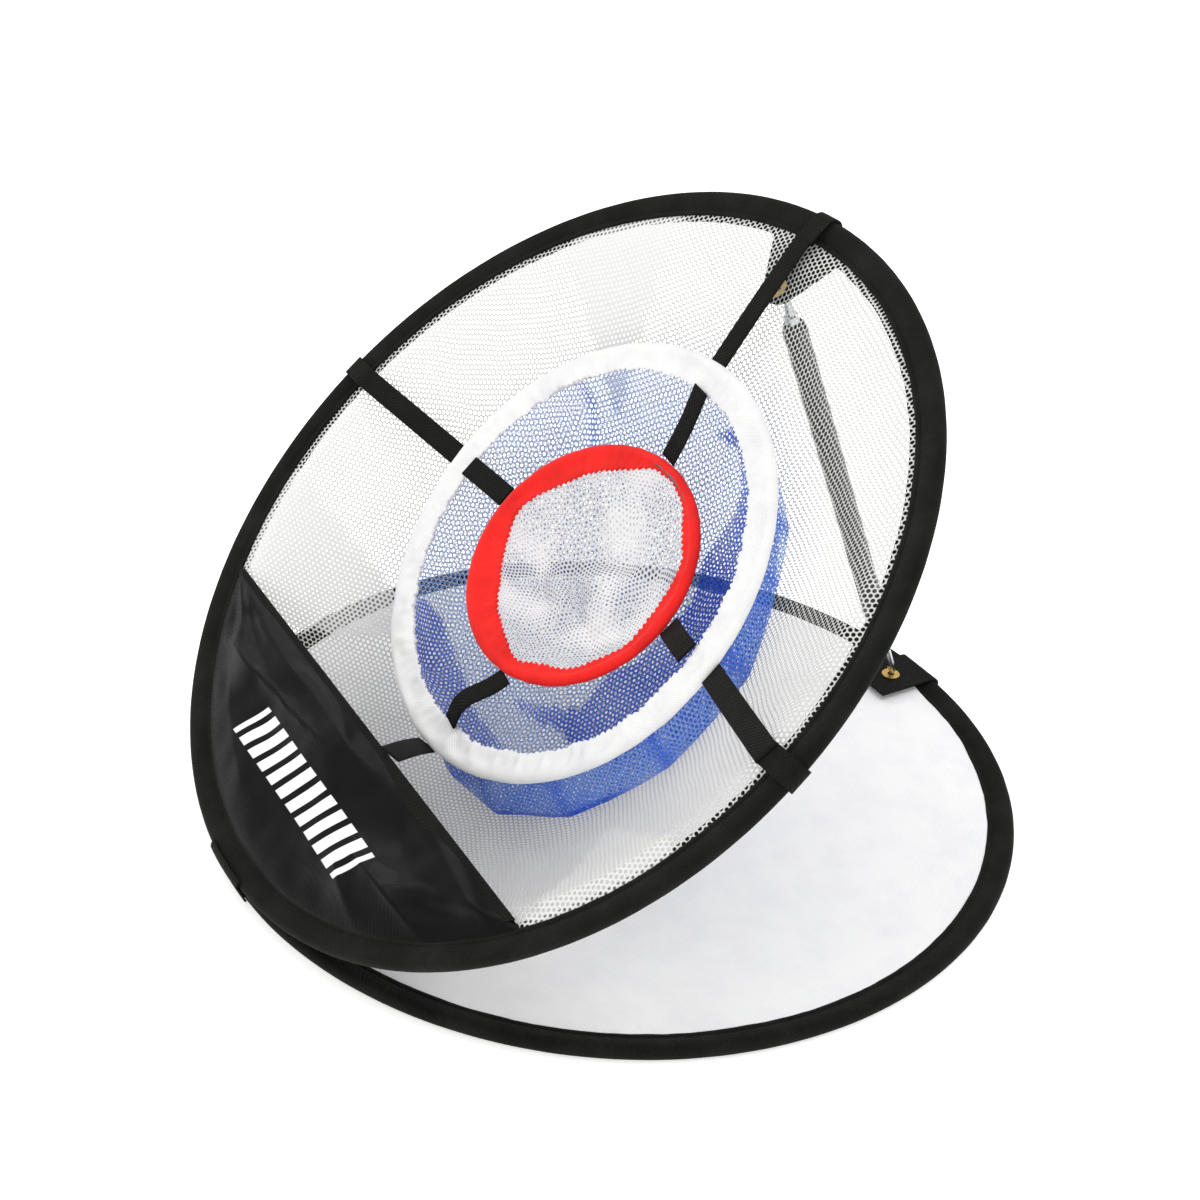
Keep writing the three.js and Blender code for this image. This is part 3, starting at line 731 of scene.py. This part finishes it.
reaches = list(np.linspace(0, outerNet["flat"], 64)) + [0.2295, 0.233, outerNet["rim"]]
outerPiece = polarCloth("outer_net", targetPlane, reaches, outerNet["segments"], outerShape, whiteNet,
                        {"gathered": outerGather})
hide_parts("outer_net_pocket")
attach(outerPiece, "target")
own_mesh(outerPiece)
print("outer net made")


def aboveOuterNet(plane, local, gap):  # lifts a point of an inner net clear of the big bag
    place = inPlane(targetPlane, fromPlane(plane, local))
    floorLevel = -outerDepth(place[0], place[1]) + gap
    if place[2] < floorLevel:
        place[2] = floorLevel
        return tuple(inPlane(plane, fromPlane(targetPlane, place)))
    return tuple(local)


middleNet = {
    "rim": 0.1235,
    "bellyDepth": 0.027,  # the bag is widest this far below its rim
    # bearing and reach of the corners of its widest part: flat facets lie between them
    "corners": ((8, 0.148), (342, 0.144), (313, 0.143), (290, 0.146), (272, 0.143), (235, 0.135),
                (190, 0.131), (140, 0.131), (95, 0.131), (62, 0.132), (44, 0.138), (30, 0.136)),
    "depth": 0.059,
    "droop": 0.24,
    "crumple": 0.0034,
    "gap": 0.0020,
    "floorShare": 0.72,  # share of the cloth's run that is the bag's floor; the rest is its wall
    "segments": 240,
    # folded-over parts of the net, as corners in millimetres from the middle
    "folds": (
        ((-6, 116), (13, 127), (51, 120), (90, 96), (120, 60), (152, 15), (146, -40), (116, -95),
         (84, -84), (30, -74), (26, -30), (40, -4), (42, 38), (32, 57), (40, 90), (37, 102), (20, 117)),
        ((-129, -50), (-110, -92), (-66, -130), (-10, -152), (30, -150), (70, -135), (116, -95),
         (73, -74), (28, -103), (-9, -108), (-45, -105), (-92, -84), (-113, -66)),
        ((-22, -84), (46, -49), (52, -62), (5, -84)),
    ),
}


def insideOf(corners, x, y):
    crossings = 0
    for (x1, y1), (x2, y2) in zip(corners, corners[1:] + corners[:1]):
        if (y1 > y) != (y2 > y) and x < (x2 - x1) * (y - y1) / (y2 - y1) + x1:
            crossings += 1
    return crossings % 2 == 1


def middleReach(along, angle):  # along: 0 in the middle, 1 at the rim
    belly, floorShare = cornered(middleNet["corners"], angle), middleNet["floorShare"]
    if along < floorShare:
        return belly * math.sin(along / floorShare * math.pi / 2) ** 0.85
    turn = (along - floorShare) / (1 - floorShare) * math.pi / 2
    return middleNet["rim"] + (belly - middleNet["rim"]) * math.cos(turn)


def middleShape(along, angle):
    reach = middleReach(along, angle)
    floorShare, bellyDepth = middleNet["floorShare"], middleNet["bellyDepth"]
    if along < floorShare:
        turn = along / floorShare * math.pi / 2
        drop = bellyDepth + (middleNet["depth"] - bellyDepth) * math.cos(turn) ** 0.7
    else:
        turn = (along - floorShare) / (1 - floorShare) * math.pi / 2
        drop = bellyDepth * (1 - math.sin(turn) ** 1.3)
    crumple = ripple(math.cos(angle) * 3.1 * along, math.sin(angle) * 3.1 * along, along * 2.0, 32)
    crumple += 0.45 * ripple(math.cos(angle) * 8 * along, math.sin(angle) * 8 * along, along * 5.0, 33)
    drop += crumple * middleNet["crumple"] * min(1.0, (1 - along) * 6)
    drop = max(0.0, drop)
    local = (reach * math.cos(angle), reach * math.sin(angle) - drop * middleNet["droop"], -0.0012 - drop)
    return aboveOuterNet(middlePlane, local, middleNet["gap"])


def middleGather(along, angle):
    reach = middleReach(along, angle) * 1000
    x, y = reach * math.cos(angle), reach * math.sin(angle)
    patch = ripple(x * 0.022, y * 0.022, along * 1.5, 34)
    amount = 0.10 + 0.3 * max(0.0, patch)
    # The wall that hangs outside the ring is bunched, with a sharp double fold at each corner of the bag.
    bunched = along > middleNet["floorShare"] and math.cos(angle - math.radians(340)) > 0
    if bunched:
        away = min(bearingApart(angle, bearing) for bearing, reach in middleNet["corners"])
        amount = max(amount, 0.24 + 1.3 * patch, 0.85 - away / 6)
    elif any(insideOf(corners, x, y) for corners in middleNet["folds"]):
        amount = 0.86 + 0.5 * patch
    seam = bearingApart(angle, 139 + 8 * (1 - along))
    amount = max(amount, 0.7 - seam / 4, 0.6 * max(0.0, (along - 0.94) / 0.06))
    return max(0.0, min(1.0, amount))


reaches = list(np.linspace(0, 1, 66))
middlePiece = polarCloth("middle_net", middlePlane, reaches, middleNet["segments"], middleShape, blueNet,
                         {"gathered": middleGather})
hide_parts("middle_net_pocket")
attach(middlePiece, "middle_ring")
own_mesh(middlePiece)
print("middle net made")

centreNet = {
    "under": 0.0017,  # it is sewn this far onto the sleeve
    "depth": 0.033,
    "steep": 2.6,
    "droop": 0.25,
    "crumple": 0.0072,
}


def centreShape(share, angle):
    reach = share * (holeEdge(sleeves["red"], angle) + centreNet["under"])
    drop = centreNet["depth"] * (1 - share ** centreNet["steep"]) ** 0.8
    x, y = math.cos(angle) * share, math.sin(angle) * share
    crumple = 0.6 - 2 * abs(ripple(x * 2.2, y * 2.2, share * 1.2, 41))
    crumple += 0.4 * ripple(x * 6, y * 6, share * 3.0, 42)
    drop += crumple * centreNet["crumple"] * (1 - share ** 6)
    level = -0.0004 - 0.0004 * max(0.0, (share - 0.94) / 0.06) - drop
    return (reach * math.cos(angle), reach * math.sin(angle) - drop * centreNet["droop"], level)


def centreGather(share, angle):
    patch = ripple(math.cos(angle) * share * 2.8, math.sin(angle) * share * 2.8, 0.9, 43)
    return min(1.0, max(0.0, 0.24 + 1.1 * patch + 0.4 * max(0.0, (share - 0.85) / 0.15)))


reaches = list(np.linspace(0, 1, 44))
centrePiece = polarCloth("centre_net", centrePlane, reaches, 150, centreShape, centreNetCloth,
                         {"gathered": centreGather})
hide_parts("centre_net_pocket")
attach(centrePiece, "centre_ring")
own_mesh(centrePiece)
print("centre net made")

panel = {
    "columns": 120,
    "rows": 56,
    "puff": 0.0045,
    "wrinkle": 0.0042,
}


def sewPanel():
    local = inPlane(targetPlane, nodePoints("front_panel"))
    top, level = local[:, 1].max(), local[:, 2].mean()
    inner = ringSize("target_edge_tape", targetPlane)[0] + 0.0042
    bottom = -inner + 0.0004
    points, faces, uvs, places = [], [], [], []
    for j in range(panel["rows"] + 1):
        up = top + (bottom - top) * (j / panel["rows"]) ** 0.9
        half = math.sqrt(max(1e-8, inner ** 2 - up ** 2))
        for i in range(panel["columns"] + 1):
            side = half * (2 * i / panel["columns"] - 1)
            edge = min(1.0, (inner - math.hypot(side, up)) / 0.02, (top - up) / 0.012)
            edge = max(0.0, edge)
            # long folds lie along the hem, and short ones fan out of the two ends where the cloth is pinched
            long = 1 - 2 * abs(ripple(side * 5 + up * 6, up * 26, 0, 51)) ** 0.7
            cross = ripple(side * 20 - up * 12, up * 9, 1, 52)
            turn = math.atan2(up - top, side - math.copysign(0.19, side))
            pinch = ripple(turn * 5, 0, 3, 54) * min(1.0, abs(side) / 0.14)
            fine = ripple(side * 60, up * 60, 2, 53)
            lift = panel["puff"] * edge ** 0.7 + panel["wrinkle"] * edge * (
                0.75 * long + 0.6 * cross + 0.7 * pinch + 0.16 * fine)
            points.append((side, up, level + max(-0.0002, lift)))
            places.append((side, up))
    across = panel["columns"] + 1
    for j in range(panel["rows"]):
        for i in range(panel["columns"]):
            corners = (j * across + i, (j + 1) * across + i, (j + 1) * across + i + 1, j * across + i + 1)
            faces.append(corners)
            uvs += [places[c] for c in corners]
    return makePiece("front_cloth", fromPlane(targetPlane, points), faces, uvs, None, panelTaffeta)


panelPiece = sewPanel()
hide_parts("front_panel")
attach(panelPiece, "target")
print("front panel made")

ground = {
    "rim": 0.2385,  # metres from the middle, under the tape
    "wrinkle": 0.0009,
    "sag": 0.0008,
    "tabFan": 0.0022,  # height of the folds that fan out from the rod's tab
    "segments": 180,
}


def groundShape(reach, angle):
    inner = basePlane["radius"]
    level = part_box("base_ground_cloth")[1].z - basePlane["centre"][2]
    edge = min(1.0, max(0.0, (inner - reach) / 0.05))
    toTab = max(0.0, math.cos(angle - math.pi / 2)) ** 10
    fan = ripple(math.cos(angle) * 14, math.sin(angle) * 14, reach * 6, 61) * toTab * (reach / inner) ** 2
    soft = ripple(reach * math.cos(angle) * 7, reach * math.sin(angle) * 7, 0, 62)
    lift = fan * ground["tabFan"] + soft * ground["wrinkle"] * edge - ground["sag"] * edge
    return (reach * math.cos(angle), reach * math.sin(angle), level + max(-0.0030, lift))


reaches = list(np.linspace(0, ground["rim"], 40))
groundPiece = polarCloth("ground_sheet", basePlane, reaches, ground["segments"], groundShape, groundCloth, {})
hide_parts("base_ground_cloth")
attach(groundPiece, "base")
print("ground cloth made")

straps = {
    "width": 0.0140,
    "thickness": 0.0013,
    # strap: how far it bows and how it waves, in metres
    "bow": {"outer_top": 0.0006, "outer_left": 0.0008, "outer_right": 0.0005, "outer_bottom": 0.001,
            "inner_top": -0.0012, "inner_left": 0.0010, "inner_right": 0.0012, "inner_bottom": 0.0052},
}


def bandAlong(nodeName):  # ends, width direction and face direction of a flat band in the frame
    points = nodePoints(nodeName)
    axes = np.linalg.svd(points - points.mean(0), full_matrices=False)[2]
    local = (points - points.mean(0)) @ axes.T
    middle = points.mean(0) + axes.T @ ((local.min(0) + local.max(0)) / 2)
    reach = (local[:, 0].max() - local[:, 0].min()) / 2
    face = axes[2] * np.sign(axes[2] @ targetPlane["normal"])
    return middle - axes[0] * reach, middle + axes[0] * reach, axes[1], face


for strapName, bow in straps["bow"].items():
    nodeName = "strap_" + strapName
    start, end, across, face = bandAlong(nodeName)
    centre = targetPlane["centre"]
    if np.linalg.norm(start - centre) < np.linalg.norm(end - centre):
        start, end = end, start
    path = []
    for t in np.linspace(-0.04, 1.04, 30):
        inside = max(0.0, min(1.0, t))
        wave = math.sin(math.pi * inside) * bow
        if strapName == "inner_bottom":
            wave += 0.0022 * math.sin(2 * math.pi * inside)
        path.append(start + (end - start) * t + face * wave)
    piece = ribbon("band_" + strapName, path, [across] * len(path), straps["width"], straps["thickness"],
                   strapWebbing)
    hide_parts(nodeName)
    if strapName.startswith("outer"):
        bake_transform(piece)
    else:
        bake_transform(piece)
print("straps made")

plainFinishes = {
    "strap_hook_top": nodeWebbing, "strap_hook_left": nodeWebbing, "strap_hook_right": nodeWebbing,
    "panel_hem_tape": nodeWebbing, "base_rod_tab": nodeWebbing, "target_rod_tab": nodeWebbing,
    "hinge_tape": nodeWebbing, "base_tab_eyelet": brass, "target_tab_eyelet": brass,
    "prop_rod": rodSkin, "prop_rod_foot_tip": nickelSteel, "prop_rod_head_tip": nickelSteel,
    "base_hoop_wire": springSteel, "target_hoop_wire": springSteel,
    "middle_ring_wire": springSteel, "centre_ring_wire": springSteel,
}
headPin = {
    "shoulder": 0.0019,
    "neck": 0.0014,
    "past": 0.0038,  # how far it stands out in front of the upper eyelet
    "turns": 20,
}


def makeHeadPin():  # turned steel pin from the rod's head into the upper eyelet
    tip, foot = nodePoints("prop_rod_head_tip"), nodePoints("prop_rod_foot_tip").mean(0)
    rodAxis = (tip.mean(0) - foot) / np.linalg.norm(tip.mean(0) - foot)
    apex = foot + rodAxis * ((tip - foot) @ rodAxis).max()
    goal = nodePoints("target_tab_eyelet").mean(0) - apex
    length = np.linalg.norm(goal)
    forward = goal / length
    sideways = np.cross(forward, (1, 0, 0))
    sideways /= np.linalg.norm(sideways)
    across = np.cross(forward, sideways)
    shoulder, neck, end = headPin["shoulder"], headPin["neck"], length + headPin["past"]
    profile = [(-0.004, shoulder * 0.8), (-0.0035, shoulder), (length - 0.0045, shoulder),
               (length - 0.0036, neck), (end - 0.0012, neck), (end - 0.0004, neck * 0.8), (end, neck * 0.35)]
    points, faces = [], []
    turns = headPin["turns"]
    for step, radius in profile:
        for k in range(turns):
            angle = 2 * math.pi * k / turns
            outward = sideways * math.cos(angle) + across * math.sin(angle)
            points.append(apex + forward * step + outward * radius)
    for i in range(len(profile) - 1):
        for k in range(turns):
            m = (k + 1) % turns
            faces.append((i * turns + k, i * turns + m, (i + 1) * turns + m, (i + 1) * turns + k))
    last = (len(profile) - 1) * turns
    faces += [tuple(range(turns)), tuple(range(last, last + turns))]
    pin = makePiece("rod_head_pin", points, faces, None, None, nickelSteel)
    faceOutwards(pin)
    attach(pin, "prop")


makeHeadPin()
for nodeName, finish in plainFinishes.items():
    mesh = nodes[nodeName].data
    mesh.materials.clear()
    mesh.materials.append(finish)
print("trims finished")
